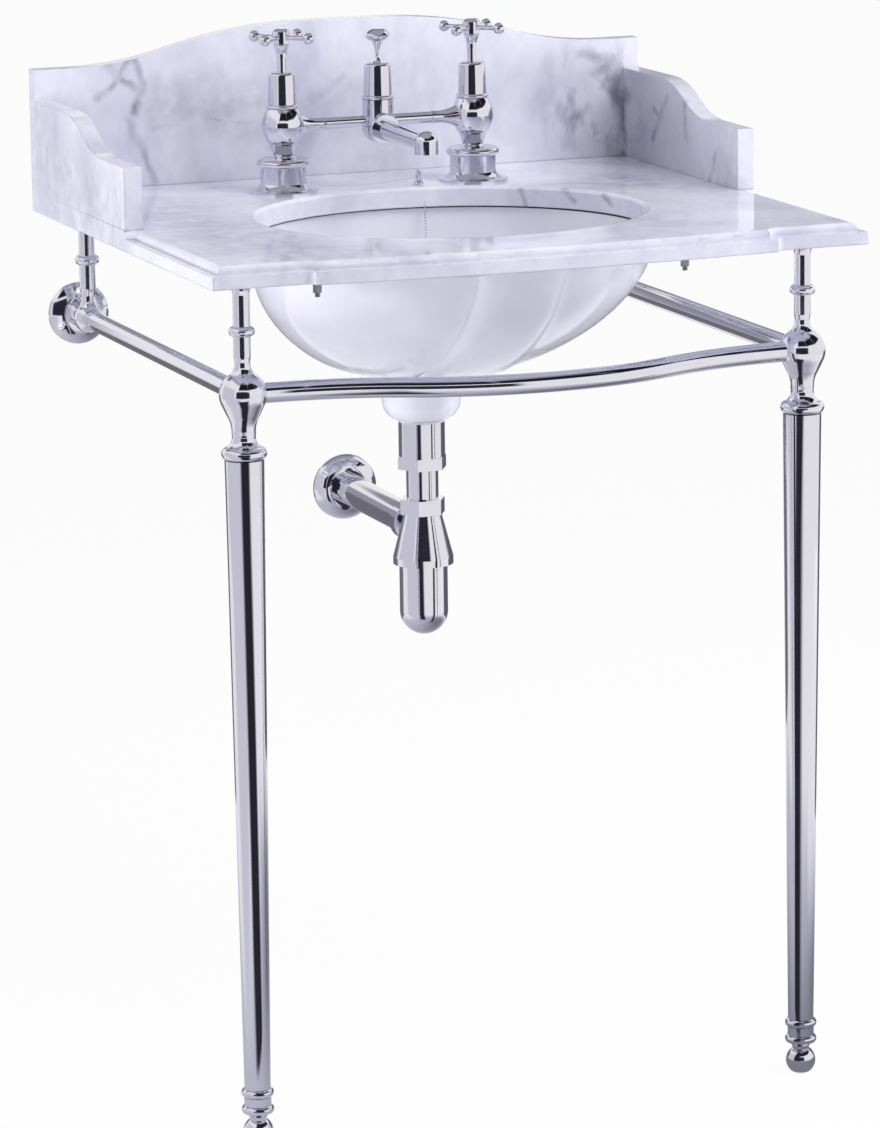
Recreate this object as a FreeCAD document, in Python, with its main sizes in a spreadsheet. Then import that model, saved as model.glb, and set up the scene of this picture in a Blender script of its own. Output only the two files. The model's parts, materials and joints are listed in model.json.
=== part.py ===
import FreeCAD, Part
import math
import os
import Sketcher
from types import SimpleNamespace

# Washstand: a marble top with splash and side returns over a glazed bowl, carried on two turned
# metal legs and a rail frame that is screwed to the wall, with a bridge mixer and a bottle trap.
# X runs to the right, Y towards the wall, Z up; the origin is on the floor under the middle.

doc = FreeCAD.newDocument("washstand")

# Driving dimensions, in millimetres. A setback is measured from the wall.
sizes = {
    # marble top
    "slab_width": 650, "slab_depth": 585, "slab_thick": 20, "rim_height": 844,
    "corner_run": 88, "front_step": 8, "front_bow": 12,
    "edge_inset": 8, "edge_drop": 8, "edge_round": 5, "opening_ease": 3,
    "splash_thick": 18, "splash_end_height": 122, "splash_rise": 35,
    "splash_flat": 40, "splash_sweep": 100, "splash_crest": 80,
    "return_thick": 18, "return_length": 287, "return_back_height": 91.5,
    "return_front_height": 60, "return_back_run": 94, "return_front_run": 71,
    # bowl
    "bowl_width": 400, "bowl_length": 374, "bowl_drop": 150, "bowl_wall": 9, "bowl_floor": 10,
    "bowl_lip": 10, "bowl_lip_thick": 12, "seal_thick": 2,
    "boss_top_radius": 39, "boss_end_radius": 26.5, "boss_drop": 45, "boss_round": 17,
    "duct_half_width": 44, "duct_half_depth": 17, "overflow_radius": 8,
    "clip_width": 16, "clip_plate": 3, "clip_reach": 40, "clip_heel": 9,
    "stud_radius": 2.5, "stud_depth": 10, "stud_drop": 31, "clip_nut_radius": 4.5, "clip_nut_height": 10,
    # waste, trap and plug
    "waste_flange_radius": 32, "waste_flange_thick": 4, "waste_seat_depth": 10,
    "gasket_thick": 2, "washer_thick": 3, "collar_length": 35, "tail_nut_height": 12,
    "pipe_radius": 16, "pipe_wall": 1.6, "trap_nut_height": 15, "trap_body_height": 50.5,
    "trap_lip": 7, "trap_wall": 2.5, "trap_axis_drop": 14.5, "cup_radius": 24, "cup_wall": 2,
    "cup_length": 72, "cup_seal_height": 3, "dip_depth": 30,
    "outlet_reach": 42, "outlet_nut_length": 14, "escutcheon_depth": 15,
    "plug_cap_radius": 22, "plug_cap_thick": 3, "plug_rubber_depth": 9, "plug_stem_radius": 3,
    "plug_stem_height": 8, "plug_ring_radius": 5, "plug_ring_wire": 0.9,
    "stay_offset": 37, "stay_radius": 5, "stay_height": 5, "stay_wire": 1.5,
    "stay_loop_radius": 4.5, "stay_stud_radius": 2.5, "stay_stud_depth": 14, "chain_radius": 1.2,
    # mixer
    "tap_centres": 201, "tap_setback": 118, "tap_hole_radius": 14, "base_radius": 34.5,
    "base_height": 9, "base_core_radius": 20, "ring_half": 4, "throat_radius": 10.5,
    "bulb_radius": 21.2, "bulb_foot_radius": 14.6, "body_top_radius": 15.5,
    "tail_radius": 10.4, "tail_length": 46, "tail_end_length": 13, "water_bore_radius": 6,
    "bar_radius": 5.8, "flare_reach": 44, "socket_depth": 6,
    "bonnet_bead_radius": 16.6, "bonnet_radius": 14.5, "bonnet_top_radius": 13.3,
    "bonnet_height": 36, "bonnet_wall": 2.6,
    "valve_radius": 9, "valve_height": 42, "valve_depth": 22, "spindle_radius": 4.6,
    "bell_radius": 8, "hub_radius": 8.8, "hub_half": 6, "arm_radius": 3, "arm_reach": 31,
    "arm_ball_radius": 5.8, "handle_turn": 40,
    "backnut_radius": 17, "backnut_height": 9, "tap_washer_radius": 18, "tap_washer_thick": 3,
    "centre_radius": 16, "centre_drop": 7, "root_radius": 12.5, "root_reach": 18,
    "spout_tip_radius": 8, "spout_reach": 134, "spout_bore_radius": 5.5,
    "outlet_radius": 11.5, "outlet_drop": 11, "nozzle_depth": 8,
    "finial_height": 34, "finial_knob_radius": 12.6, "finial_knob_half": 6.2,
    "finial_neck_radius": 2.3, "finial_foot_radius": 5.5, "finial_pin_depth": 2.4,
    # stand
    "rail_radius": 9.6, "rail_bow": 58, "rail_stub": 20, "rail_wall": 2,
    "leg_ball_radius": 22.2, "leg_collar_radius": 21.8, "leg_collar_half": 5.9,
    "leg_neck_radius": 11.2, "leg_bead_radius": 12.8, "spindle_leg_radius": 8,
    "leg_flare_radius": 11.3, "leg_flare_height": 16,
    "tube_top_radius": 18.4, "tube_end_radius": 12.4, "tube_wall": 4, "spigot_length": 20,
    "foot_ring_radius": 15.8, "foot_waist_radius": 12.8, "foot_ring_half": 4.1,
    "foot_neck_radius": 8, "foot_ball_radius": 14.4, "foot_flat_radius": 4.5,
    "post_setback": 36, "post_ball_radius": 15, "flange_radius": 31, "flange_rim": 3,
    "flange_depth": 17, "flange_hub_radius": 13, "screw_hole_radius": 2.6,
    "screw_seat_radius": 4.9, "screw_seat_depth": 4.5,
    # steps between neighbouring pieces
    "leg_inset": 44, "leg_front_inset": 52.5, "rail_drop": 106, "collar_drop": 54.3,
    "bead_drop": 47.3, "socket_web": 2.2, "post_bite": 9, "foot_neck_height": 5.9,
    "foot_waist_height": 8.2, "bowl_tap_gap": 1.5, "opening_lap": 9, "opening_end_lap": 15,
    "waste_back": 88, "stay_gap": 14.5, "trap_fall": 60, "waste_slip": 0.4, "waste_wall": 2.6,
    "seat_lip": 2, "boss_clearance": 1.5, "collar_wall": 4, "washer_land": 4,
    "trap_neck_wall": 2.5, "cup_lap": 6, "tail_nut_land": 9.5, "trap_nut_land": 7.4,
    "outlet_nut_wall": 4, "cover_width": 18, "ring_rise": 20.4, "throat_rise": 7, "bridge_rise": 29.1,
    "bulb_drop": 17, "body_rise": 17.5, "handle_rise": 34, "bell_drop": 20, "waist_step": 3.2,
    "bar_wall": 2, "flare_drop": 3.8, "flare_wall": 0.8, "tail_step": 0.4, "outlet_wall": 2.5,
    # fits
    "fit": 0.05, "running_fit": 0.08, "air": 0.3, "overrun": 5,
}

sheet = doc.addObject("Spreadsheet::Sheet", "Sizes")
for row, (alias, value) in enumerate(sizes.items(), start=1):
    sheet.set(f"A{row}", alias)
    sheet.set(f"B{row}", str(value))
    sheet.setAlias(f"B{row}", alias)
doc.recompute()


class Size:
    """A length worked out from the sheet: its value now, and the expression that keeps it so."""

    def __init__(self, value, text):
        self.value, self.text = value, text

    @staticmethod
    def of(other):
        return other if isinstance(other, Size) else Size(other, f"{other:.9g}")

    def __add__(self, other):
        other = Size.of(other)
        return Size(self.value + other.value, f"({self.text} + {other.text})")

    def __sub__(self, other):
        other = Size.of(other)
        return Size(self.value - other.value, f"({self.text} - ({other.text}))")

    def __mul__(self, other):
        other = Size.of(other)
        return Size(self.value * other.value, f"({self.text} * ({other.text}))")

    def __truediv__(self, other):
        other = Size.of(other)
        return Size(self.value / other.value, f"({self.text} / ({other.text}))")

    def __neg__(self):
        return self * -1

    __rmul__ = __mul__


def root(size):
    return Size(math.sqrt(size.value), f"sqrt({size.text})")


s = SimpleNamespace(**{alias: Size(value, f"Sizes.{alias}") for alias, value in sizes.items()})
zero = Size(0.0, "0")
TURNS = {"Z": FreeCAD.Rotation(), "-Z": FreeCAD.Rotation(FreeCAD.Vector(1, 0, 0), 180),
         "Y": FreeCAD.Rotation(FreeCAD.Vector(1, 0, 0), -90),
         "-Y": FreeCAD.Rotation(FreeCAD.Vector(1, 0, 0), 90),
         "X": FreeCAD.Rotation(FreeCAD.Vector(0, 1, 0), 90),
         "-X": FreeCAD.Rotation(FreeCAD.Vector(0, 1, 0), -90)}
nodes = []


def place(thing, at, aim="Z"):
    """Put a thing's own origin at a point, with its own Z along the named axis."""
    thing.Placement = FreeCAD.Placement(FreeCAD.Vector(*[c.value for c in at]), TURNS[aim])
    for letter, c in zip("xyz", at):
        thing.setExpression(f"Placement.Base.{letter}", c.text)
    return thing


def primitive(kind, name, at, aim="Z", **bound):
    """A solid primitive whose properties are bound to sizes."""
    thing = doc.addObject(f"Part::{kind}", name)
    for prop, size in bound.items():
        thing.setExpression(prop, size.text)
    return place(thing, at, aim)


def rod(name, radius, length, at, aim="Z"):
    return primitive("Cylinder", name, at, aim, Radius=radius, Height=length)


def hexagon(name, radius, height, at, aim="Z"):
    return primitive("Prism", name, at, aim, Circumradius=radius, Height=height)


def block(name, low, high):
    sides = [b - a for a, b in zip(low, high)]
    return primitive("Box", name, low, Length=sides[0], Width=sides[1], Height=sides[2])


def cut(name, base, *tools):
    thing = doc.addObject("Part::Cut", name)
    thing.Base = base
    thing.Tool = tools[0] if len(tools) == 1 else join(f"{name}_tools", *tools)
    return thing


def join(name, *pieces):
    thing = doc.addObject("Part::MultiFuse", name)
    thing.Shapes = list(pieces)
    return thing


def group(name, pieces):
    thing = doc.addObject("Part::Compound", name)
    thing.Links = list(pieces)
    return thing


def node(label, thing):
    thing.Label = label
    nodes.append(thing)
    return thing


def chord_of(p, q):
    du, dv = q[0] - p[0], q[1] - p[1]
    return root(du * du + dv * dv)


def arc_of(p, q):
    """Radius and side of the arc that leaves p: +1 bulges to the right of the way to q."""
    if isinstance(p[2], tuple):
        return p[2]
    swell = abs(p[2])
    return chord_of(p, q) * ((1 + swell * swell) / (4 * swell)), math.copysign(1, p[2])


def sketch(body, name, plane, outline, lift=zero):
    """Closed outline of (u, v) or (u, v, bend) corners, every corner held by the sheet.

    A bend is a bulge (1 is a half circle) or a pair of radius and side, for the edge that leaves it.
    """
    sk = body.newObject("Sketcher::SketchObject", name)
    face = next(f for f in body.Origin.OriginFeatures if f.Role == plane)
    sk.AttachmentSupport = (face, [""])
    sk.MapMode = "FlatFace"
    sk.setExpression("AttachmentOffset.Base.z", lift.text)
    ends = []
    for i, p in enumerate(outline):
        q = outline[(i + 1) % len(outline)]
        a = FreeCAD.Vector(p[0].value, p[1].value, 0)
        b = FreeCAD.Vector(q[0].value, q[1].value, 0)
        if len(p) < 3 or p[2] is None:
            sk.addGeometry(Part.LineSegment(a, b), False)
            ends.append((1, 2, None))
            continue
        radius, side = arc_of(p, q)
        half = (b - a).Length / 2
        sag = radius.value - math.sqrt(max(radius.value ** 2 - half ** 2, 0))
        right = FreeCAD.Vector(b.y - a.y, a.x - b.x, 0).normalize()
        mid = (a + b) * 0.5 + right * (sag * side)
        arc = Part.Arc(a, mid, b).toShape().Curve
        circle = Part.Circle(arc.Center, FreeCAD.Vector(0, 0, 1), arc.Radius)
        index = sk.addGeometry(Part.ArcOfCircle(circle, *span(arc.Center, a, mid, b)), False)
        first = (sk.Geometry[index].StartPoint - a).Length < (sk.Geometry[index].EndPoint - a).Length
        ends.append((1, 2, radius) if first else (2, 1, radius))
    for i, (start, end, radius) in enumerate(ends):
        following = (i + 1) % len(ends)
        sk.addConstraint(Sketcher.Constraint("Coincident", i, end, following, ends[following][0]))
        for kind, axis, size in (("DistanceX", -2, outline[i][0]), ("DistanceY", -1, outline[i][1])):
            if size is zero:
                sk.addConstraint(Sketcher.Constraint("PointOnObject", i, start, axis))
                continue
            held = sk.addConstraint(Sketcher.Constraint(kind, -1, 1, i, start, size.value))
            sk.setExpression(f"Constraints[{held}]", size.text)
    for i, (start, end, radius) in enumerate(ends):
        if radius is not None:
            held = sk.addConstraint(Sketcher.Constraint("Radius", i, radius.value))
            sk.setExpression(f"Constraints[{held}]", radius.text)
    return sk


def span(centre, a, mid, b):
    """Start and end angles of the counter-clockwise arc from a to b, or b to a, through mid."""
    first, middle, last = (math.atan2(p.y - centre.y, p.x - centre.x) for p in (a, mid, b))
    turn = 2 * math.pi
    if (middle - first) % turn < (last - first) % turn:
        return first, first + (last - first) % turn
    return last, last + (first - last) % turn


def padded(name, plane, outline, length, at):
    body = doc.addObject("PartDesign::Body", name)
    pad = body.newObject("PartDesign::Pad", f"{name}_pad")
    pad.Profile = sketch(body, f"{name}_outline", plane, outline)
    pad.setExpression("Length", length.text)
    return place(body, at)


def turned(name, outline, at, aim="Z"):
    """A lathe-turned piece: (radius, height) corners spun about its own Z."""
    body = doc.addObject("PartDesign::Body", name)
    profile = sketch(body, f"{name}_profile", "XZ_Plane", outline)
    spin = body.newObject("PartDesign::Revolution", f"{name}_turning")
    spin.Profile = profile
    spin.ReferenceAxis = (profile, ["V_Axis"])
    spin.Angle = 360
    return place(body, at, aim)


def oval(name, half_width, half_depth, at):
    return primitive("Ellipse", name, at, MajorRadius=half_width, MinorRadius=half_depth)


def lofted(name, rings):
    thing = doc.addObject("Part::Loft", name)
    thing.Sections = rings
    thing.Solid = True
    return thing


def oval_plug(name, half_width, half_depth, at, height):
    thing = doc.addObject("Part::Extrusion", name)
    thing.Base = oval(f"{name}_ring", half_width, half_depth, at)
    thing.DirMode = "Custom"
    thing.Dir = FreeCAD.Vector(0, 0, 1)
    thing.Solid = True
    thing.setExpression("LengthFwd", height.text)
    return thing


def sphere_half(ball, neck):
    """Half the height of a ball where it meets a neck."""
    return root(ball * ball - neck * neck)


# Sizes that follow from the sheet's: where each piece stands against its neighbours.
wall = s.slab_depth / 2
underside = s.rim_height - s.slab_thick
half = s.slab_width / 2
front = s.front_bow + s.front_step - wall
leg_x = half - s.leg_inset
leg_y = front + s.leg_front_inset
rail_height = underside - s.rail_drop
collar_height = rail_height - s.collar_drop
bead_height = underside - s.bead_drop
bowl_a, bowl_b = s.bowl_width / 2, s.bowl_length / 2
lip_a, lip_b = bowl_a + s.bowl_lip, bowl_b + s.bowl_lip
opening_a, opening_b = bowl_a - s.opening_lap, bowl_b - s.opening_end_lap
tap_y = wall - s.tap_setback
bowl_y = tap_y - s.bowl_tap_gap - lip_b
waste_y = bowl_y + s.waste_back
stay_y = bowl_y + opening_b + s.stay_gap
waste_bore = s.pipe_radius + s.waste_slip
waste_radius = waste_bore + s.waste_wall
seat_radius = waste_bore + s.seat_lip
waist_radius = s.base_core_radius + s.waist_step
ring_height = s.base_height + s.ring_rise
throat_height = ring_height + s.throat_rise
bridge_height = throat_height + s.bridge_rise
body_height = bridge_height + s.body_rise
handle_height = body_height + s.bonnet_height + s.handle_rise
bell_height = handle_height - s.bell_drop
bar_bore_radius = s.bar_radius - s.bar_wall
outlet_bore_radius = s.outlet_radius - s.outlet_wall
sides = (("left", -1), ("right", 1))


# Marble slab: bowed front between two straight corners, a stepped and rounded edge along the front
# and the sides as far back as the returns, an oval opening, and holes for the taps, the chain stay
# and the bowl's studs.
run_x = half - s.corner_run
bow_x = run_x - s.front_step
bow_radius = (bow_x * bow_x + s.front_bow * s.front_bow) / (s.front_bow * 2)
cove = (s.front_step, -1)
return_end = wall - s.splash_thick - s.return_length
slab_outline = [(-half, wall), (-half, front), (-run_x, front, cove),
                (-bow_x, front - s.front_step, (bow_radius, 1)), (bow_x, front - s.front_step, cove),
                (run_x, front), (half, front), (half, wall)]
inner_cove = s.front_step + s.edge_inset
inner_x = run_x - root(inner_cove * inner_cove - s.edge_inset * s.edge_inset)
inner_front = front + s.edge_inset
inner_half = half - s.edge_inset
inner_bow_y = front - s.front_step + s.edge_inset
top_outline = [(-half, wall), (-half, return_end), (-inner_half, return_end - s.edge_inset),
               (-inner_half, inner_front), (-run_x, inner_front, (inner_cove, -1)),
               (-inner_x, inner_bow_y, (bow_radius - s.edge_inset, 1)),
               (inner_x, inner_bow_y, (inner_cove, -1)), (run_x, inner_front),
               (inner_half, inner_front), (inner_half, return_end - s.edge_inset),
               (half, return_end), (half, wall)]
ledge = s.slab_thick - s.edge_drop
slab = padded("slab_blank", "XY_Plane", slab_outline, ledge, (zero, zero, underside))
top_pad = slab.newObject("PartDesign::Pad", "slab_top_pad")
top_pad.Profile = sketch(slab, "slab_top_outline", "XY_Plane", top_outline, ledge)
top_pad.setExpression("Length", s.edge_drop.text)
doc.recompute()


def edge_names(feature, height, behind):
    """Edges of a slab that lie level at a height, in front of a line."""
    return [f"Edge{i}" for i, edge in enumerate(feature.Shape.Edges, start=1)
            if abs(edge.BoundBox.ZMin - height.value) < 1e-6 > edge.BoundBox.ZLength
            and edge.BoundBox.YMin < behind.value - 1e-6]


moulding = slab.newObject("PartDesign::Fillet", "slab_edge_round")
moulding.Base = (top_pad, edge_names(top_pad, s.slab_thick, return_end))
moulding.setExpression("Radius", s.edge_round.text)
slab.Tip = moulding
opening = oval_plug("opening", opening_a, opening_b,
                    (zero, bowl_y, underside - s.overrun), s.slab_thick + s.overrun * 2)
opening_edge = lofted("opening_edge", [
    oval("opening_edge_low", opening_a, opening_b,
         (zero, bowl_y, s.rim_height - s.opening_ease)),
    oval("opening_edge_high", opening_a + s.opening_ease, opening_b + s.opening_ease,
         (zero, bowl_y, s.rim_height))])
tap_holes = [rod(f"{side}_tap_hole", s.tap_hole_radius, s.slab_thick + s.overrun * 2,
                 (s.tap_centres / 2 * sign, tap_y, underside - s.overrun)) for side, sign in sides]
stay_hole = rod("stay_hole", s.stay_stud_radius + s.fit, s.stay_stud_depth + s.overrun,
                (s.stay_offset, stay_y, s.rim_height - s.stay_stud_depth))
# places of the clips, as shares of the lip's half sizes
clip_shares = (0.885, 0.69)
clip_spots = [(lip_a * (clip_shares[0] * a), bowl_y + lip_b * (clip_shares[1] * b), a)
              for a in (-1, 1) for b in (-1, 1)]
stud_holes = [rod(f"stud_hole_{i}", s.stud_radius + s.fit, s.stud_depth + s.overrun,
                  (x, y, underside - s.overrun)) for i, (x, y, _) in enumerate(clip_spots)]
node("marble_slab", cut("slab_cut", slab, opening, opening_edge, stay_hole, *tap_holes, *stud_holes))

# Back splash: flat shoulders at its ends, swept up by opposed arcs to a level crest.
flat_x = half - s.splash_flat
crest_x = s.splash_crest / 2
sweep_x = flat_x - s.splash_sweep
sweep_rise = s.splash_rise * (s.splash_sweep / (flat_x - crest_x))
crest_rise = s.splash_rise - sweep_rise
crest_run = sweep_x - crest_x
hollow = ((s.splash_sweep * s.splash_sweep + sweep_rise * sweep_rise) / (sweep_rise * 2), -1)
crown = ((crest_run * crest_run + crest_rise * crest_rise) / (crest_rise * 2), 1)
peak = s.splash_end_height + s.splash_rise
sweep_z = s.splash_end_height + sweep_rise
splash_outline = [(-half, zero), (half, zero), (half, s.splash_end_height),
                  (flat_x, s.splash_end_height, hollow), (sweep_x, sweep_z, crown), (crest_x, peak),
                  (-crest_x, peak, crown), (-sweep_x, sweep_z, hollow),
                  (-flat_x, s.splash_end_height), (-half, s.splash_end_height)]
node("back_splash", padded("splash", "XZ_Plane", splash_outline, s.splash_thick,
                           (zero, wall, s.rim_height)))

# Side returns: upright pieces on the slab's edges, stepping down towards the front in an S.
fall = s.return_back_height - s.return_front_height
fall_run = s.return_length - s.return_back_run - s.return_front_run
fall_radius = (fall_run * fall_run + fall * fall) / (fall * 4)
fall_mid = s.return_front_run + fall_run / 2
return_outline = [(zero, zero), (s.return_length, zero), (s.return_length, s.return_back_height),
                  (s.return_length - s.return_back_run, s.return_back_height, (fall_radius, 1)),
                  (fall_mid, s.return_front_height + fall / 2, (fall_radius, -1)),
                  (s.return_front_run, s.return_front_height), (zero, s.return_front_height)]
for side, sign in sides:
    near = half * sign if sign < 0 else half - s.return_thick
    node(f"{side}_side_return", padded(f"{side}_return", "YZ_Plane", return_outline, s.return_thick,
                                       (near, return_end, s.rim_height)))

# Bowl: oval rings that shrink and move back towards the waste, with a lip under the slab, a boss
# below, and a duct down its front from the overflow hole to the boss.
rim_z = underside - s.seal_thick
bowl_shift = waste_y - bowl_y
# share of the drop, share of the rim's half sizes, share of the shift towards the waste
bowl_shares = [(0, 1, 0), (0.3, 0.945, 0.13), (0.6, 0.8, 0.42), (0.76, 0.665, 0.62),
               (0.88, 0.52, 0.8), (0.96, 0.36, 0.93), (1, 0.22, 1)]
outer_rings, inner_rings = [], []
cavity_drop = s.bowl_drop - s.bowl_floor
for i, (down, size, shift) in enumerate(bowl_shares):
    y = bowl_y + bowl_shift * shift
    wide, deep = bowl_a * size, bowl_b * size
    side_wall = s.bowl_wall * (1 - down)
    outer_rings.append(oval(f"bowl_outer_{i}", wide, deep, (zero, y, rim_z - s.bowl_drop * down)))
    inner_rings.append(oval(f"bowl_inner_{i}", wide - side_wall, deep - side_wall,
                            (zero, y, rim_z - cavity_drop * down)))
lip_z = rim_z - s.bowl_lip_thick
boss_top = rim_z - s.bowl_drop
boss_end = boss_top - s.boss_drop
bowl_floor_z = rim_z - cavity_drop
lip = oval_plug("bowl_lip_blank", lip_a, lip_b, (zero, bowl_y, lip_z), s.bowl_lip_thick)
boss_height = s.boss_drop + s.bowl_floor / 2
boss = turned("bowl_boss", [
    (zero, zero), (s.boss_end_radius, zero, 0.3), (s.boss_top_radius, s.boss_round),
    (s.boss_top_radius, boss_height), (zero, boss_height)], (zero, waste_y, boss_end))
# the duct follows the bowl's front, from just under the lip: share of the drop to start at
duct_start_share = 0.06
duct_rings = []
for i, (down, size, shift) in enumerate([(duct_start_share, 1, 0)] + bowl_shares[1:]):
    y = bowl_y + bowl_shift * shift - bowl_b * size
    duct_rings.append(oval(f"duct_ring_{i}", s.duct_half_width, s.duct_half_depth,
                           (zero, y, rim_z - s.bowl_drop * down)))
bowl_skin = join("bowl_skin", lofted("bowl_outer", outer_rings), lip, boss,
                 lofted("duct_outer", duct_rings))
overflow_share = bowl_shares[1]
overflow_y = bowl_y + bowl_shift * overflow_share[2] - bowl_b * overflow_share[1]
overflow_at = (zero, overflow_y - s.duct_half_depth / 3, rim_z - s.bowl_drop * overflow_share[0])
overflow = rod("overflow_hole", s.overflow_radius, s.bowl_wall * 3, overflow_at, "Y")
waste_hole = rod("waste_hole", waste_radius + s.boss_clearance, s.boss_drop + s.bowl_drop,
                 (zero, waste_y, boss_end - s.overrun))
node("ceramic_bowl", cut("bowl_cut", bowl_skin, lofted("bowl_inner", inner_rings), waste_hole, overflow))

# Rim seal between the lip and the slab, and four clips on studs that hold the lip up.
node("rim_seal", cut("seal_cut", oval_plug("seal_outer", lip_a, lip_b,
                                           (zero, bowl_y, rim_z), s.seal_thick),
                     oval_plug("seal_inner", bowl_a - s.bowl_wall, bowl_b - s.bowl_wall,
                               (zero, bowl_y, rim_z - s.overrun), s.seal_thick + s.overrun * 2)))
clips, studs = [], []
plate_z = lip_z - s.clip_plate
for i, (x, y, sign) in enumerate(clip_spots):
    reach, heel = (s.clip_reach, s.clip_heel) if sign > 0 else (s.clip_heel, s.clip_reach)
    near, far = y - s.clip_width / 2, y + s.clip_width / 2
    plate = block(f"clip_plate_{i}", (x - reach, near, plate_z), (x + heel, far, lip_z))
    heel_block = block(f"clip_heel_{i}", (x - s.clip_heel, near, lip_z), (x + s.clip_heel, far, underside))
    clip_hole = rod(f"clip_hole_{i}", s.stud_radius + s.fit, s.stud_drop, (x, y, plate_z - s.overrun))
    clips.append(cut(f"clip_{i}", join(f"clip_blank_{i}", plate, heel_block), clip_hole))
    stud = rod(f"stud_{i}", s.stud_radius, s.stud_drop + s.stud_depth, (x, y, underside - s.stud_drop))
    nut = hexagon(f"clip_nut_{i}", s.clip_nut_radius, s.clip_nut_height,
                  (x, y, plate_z - s.clip_nut_height))
    studs.append(join(f"clip_bolt_{i}", stud, nut))
node("bowl_clips", group("clips", clips))
node("clip_bolts", group("clip_studs", studs))

# Waste: a flanged tube through the boss, its gasket and washer, a long collar and a hexagon nut.
flange_z = bowl_floor_z + s.gasket_thick
collar_top = boss_end - s.washer_thick
collar_end = collar_top - s.collar_length
waste_end = collar_end + s.tail_nut_height / 4
waste_height = flange_z + s.waste_flange_thick - waste_end
flange_low = waste_height - s.waste_flange_thick
seat_low = waste_height - s.waste_seat_depth
node("waste_body", turned("waste", [
    (waste_bore, zero), (waste_radius, zero), (waste_radius, flange_low),
    (s.waste_flange_radius, flange_low),
    (s.waste_flange_radius, flange_low + s.waste_flange_thick / 2, 0.4),
    (s.waste_flange_radius - s.waste_flange_thick / 2, waste_height), (seat_radius, waste_height),
    (waste_bore + s.pipe_wall, seat_low), (waste_bore, seat_low)],
    (zero, waste_y, waste_end)))


def ring(name, inner, outer, height, at, aim="Z"):
    """A plain washer or sleeve."""
    return turned(name, [(inner, zero), (outer, zero), (outer, height), (inner, height)], at, aim)


def bored_nut(name, radius, bore, height, at):
    """A hexagon nut with a plain bore, standing on a point."""
    x, y, z = at
    return cut(name, hexagon(f"{name}_blank", radius, height, at),
               rod(f"{name}_bore", bore, height + s.overrun * 2, (x, y, z - s.overrun)))


waste_grip = waste_radius + s.fit
node("waste_gaskets", group("gaskets", [
    ring("flange_gasket", waste_grip, s.waste_flange_radius, s.gasket_thick, (zero, waste_y, bowl_floor_z)),
    ring("boss_washer", waste_grip, waste_radius + s.washer_land, s.washer_thick,
         (zero, waste_y, collar_top))]))
node("waste_collar", ring("collar", waste_grip, waste_radius + s.collar_wall, s.collar_length,
                          (zero, waste_y, collar_end)))
tail_nut_z = collar_end - s.tail_nut_height
pipe_grip = s.pipe_radius + s.fit
node("waste_tail_nut", bored_nut("tail_nut", s.pipe_radius + s.tail_nut_land, pipe_grip,
                                 s.tail_nut_height, (zero, waste_y, tail_nut_z)))

# Bottle trap: inlet tube that dips into the cup, nut, conical body with a side outlet, cup and seal.
trap_height = tail_nut_z - s.trap_fall
skirt_radius = s.cup_radius + s.cup_lap
trap_top = trap_height + s.trap_axis_drop
trap_end = trap_top - s.trap_body_height
cup_top = trap_end + s.trap_lip + s.cup_seal_height
dip_end = trap_end - s.dip_depth
pipe_bore = s.pipe_radius - s.pipe_wall
node("trap_inlet_tube", ring("inlet_tube", pipe_bore, s.pipe_radius,
                             collar_end + s.tail_nut_height - dip_end, (zero, waste_y, dip_end)))
node("trap_inlet_nut", bored_nut("trap_nut", s.pipe_radius + s.trap_nut_land, pipe_grip,
                                 s.trap_nut_height, (zero, waste_y, trap_top)))
lip_bore = s.cup_radius + s.fit
skirt_bore = skirt_radius - s.trap_wall
neck_low = s.trap_body_height - s.trap_wall * 2
trap_blank = turned("trap_blank", [
    (zero, zero), (skirt_radius, zero), (skirt_radius, s.trap_lip),
    (s.pipe_radius + s.trap_neck_wall, s.trap_body_height), (zero, s.trap_body_height)],
    (zero, waste_y, trap_end))
trap_hollow = turned("trap_hollow", [
    (zero, -s.overrun), (lip_bore, -s.overrun), (lip_bore, s.trap_lip), (skirt_bore, s.trap_lip),
    (pipe_grip, neck_low), (pipe_grip, s.trap_body_height + s.overrun),
    (zero, s.trap_body_height + s.overrun)], (zero, waste_y, trap_end))
spigot_radius = pipe_bore - s.fit
spigot = rod("trap_spigot", spigot_radius, s.outlet_reach, (zero, waste_y, trap_height), "Y")
spigot_bore = rod("trap_spigot_bore", spigot_radius - s.pipe_wall, s.outlet_reach + s.overrun,
                  (zero, waste_y, trap_height), "Y")
node("trap_body", cut("trap", join("trap_skin", trap_blank, spigot), trap_hollow, spigot_bore))
cup_straight = cup_top - trap_end + s.cup_length - s.cup_radius
cup_base = trap_end - s.cup_length
cup_inner = s.cup_radius - s.cup_wall
cup_height = s.cup_radius + cup_straight
node("trap_cup", turned("cup", [
    (zero, zero, (s.cup_radius, 1)), (s.cup_radius, s.cup_radius), (s.cup_radius, cup_height),
    (cup_inner, cup_height), (cup_inner, s.cup_radius, (cup_inner, -1)), (zero, s.cup_wall)],
    (zero, waste_y, cup_base)))
node("trap_cup_seal", ring("cup_seal", s.cup_radius + s.fit, skirt_bore - s.cup_wall, s.cup_seal_height,
                           (zero, waste_y, trap_end + s.trap_lip)))

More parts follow.
